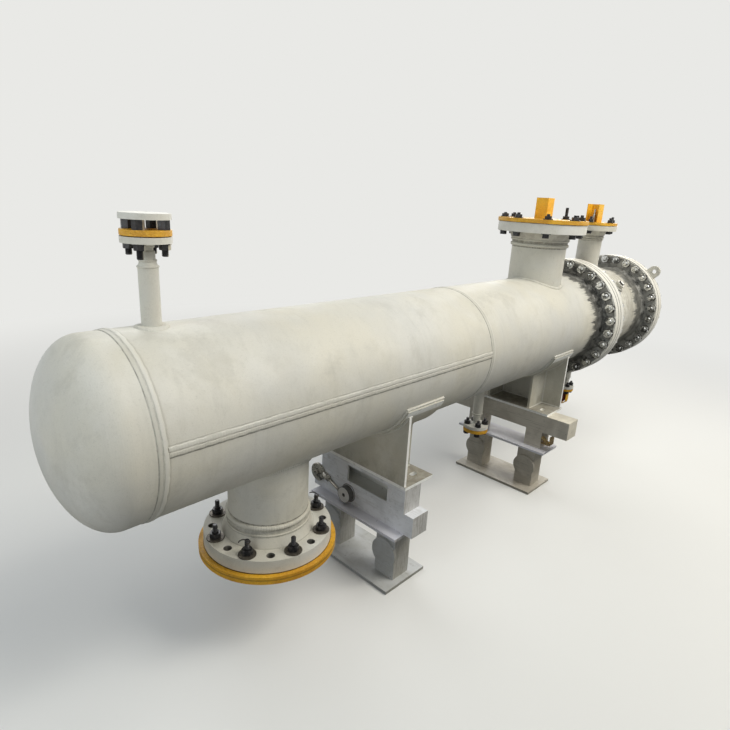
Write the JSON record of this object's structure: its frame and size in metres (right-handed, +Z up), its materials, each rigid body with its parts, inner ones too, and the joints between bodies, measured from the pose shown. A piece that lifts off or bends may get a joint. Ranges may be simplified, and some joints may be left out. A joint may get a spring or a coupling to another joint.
{
  "type": "shell and tube heat exchanger",
  "caption": "Horizontal shell and tube heat exchanger with a dished head, flanged nozzles, a bolted channel with a flat cover, and two saddles on steel stands.",
  "frame": {"origin": "on the floor under the middle of the exchanger's length and width", "axes": "+X from the dished head to the channel cover, +Y to the far side, +Z up"},
  "size_m": [4.175, 0.86, 1.822],
  "materials": {
    "vessel_paint": "matt warm grey-white paint",
    "body_flange": "grey-white paint on the rims, bare dark steel on the bolting faces",
    "gasket": "dark gasket edge",
    "lug_steel": "thin grey-white paint over steel",
    "nozzle_paint": "matt warm grey-white paint",
    "nozzle_flange_paint": "matt warm grey-white paint",
    "yellow_cover": "brushed-on yellow paint",
    "yellow_guard": "brushed-on yellow paint",
    "valve_steel": "plain machined steel",
    "valve_red": "dark red gloss paint",
    "black_nut": "black oxide",
    "saddle_paint": "matt warm grey-white paint",
    "stand_steel": "worn grey paint over mill steel"
  },
  "bodies": {
    "root": {"shell_head": "vessel_paint", "shell_course_front": "vessel_paint", "shell_course_rear": "vessel_paint", "shell_flange": "body_flange", "tubesheet": "body_flange", "channel_rear_flange": "body_flange", "channel_barrel": "vessel_paint", "channel_front_flange": "body_flange", "channel_cover": "body_flange", "girth_gaskets": "gasket", "cover_lifting_lug": "lug_steel", "bottom_nozzle_neck": "nozzle_paint", "bottom_nozzle_flange": "nozzle_flange_paint", "bottom_nozzle_cover": "yellow_cover", "top_nozzle_neck": "nozzle_paint", "top_nozzle_flange": "nozzle_flange_paint", "top_nozzle_cover": "yellow_cover", "top_nozzle_guard": "yellow_guard", "channel_coupling": "vessel_paint", "channel_nozzle_neck": "nozzle_paint", "channel_nozzle_flange": "nozzle_flange_paint", "channel_nozzle_cover": "yellow_cover", "channel_nozzle_guard": "yellow_guard", "fill_valve": "valve_steel", "vent_neck_pipe": "nozzle_paint", "vent_flange": "nozzle_flange_paint", "vent_cover": "yellow_cover", "vent_nuts": "black_nut", "vent_blind_flange": "nozzle_flange_paint", "drain_necks": "nozzle_paint", "drain_flanges": "nozzle_flange_paint", "drain_covers": "yellow_cover", "channel_drain_guard": "yellow_guard", "channel_drain_valve": "valve_red", "saddle_pads": "saddle_paint", "front_saddle": "saddle_paint", "rear_saddle": "saddle_paint", "front_stand_box": "stand_steel", "front_stand_beam": "stand_steel", "rear_stand_beam": "stand_steel", "stand_blocks": "stand_steel", "stand_shelves": "stand_steel", "stand_legs": "stand_steel", "stand_feet": "stand_steel"}
  },
  "joints": []
}
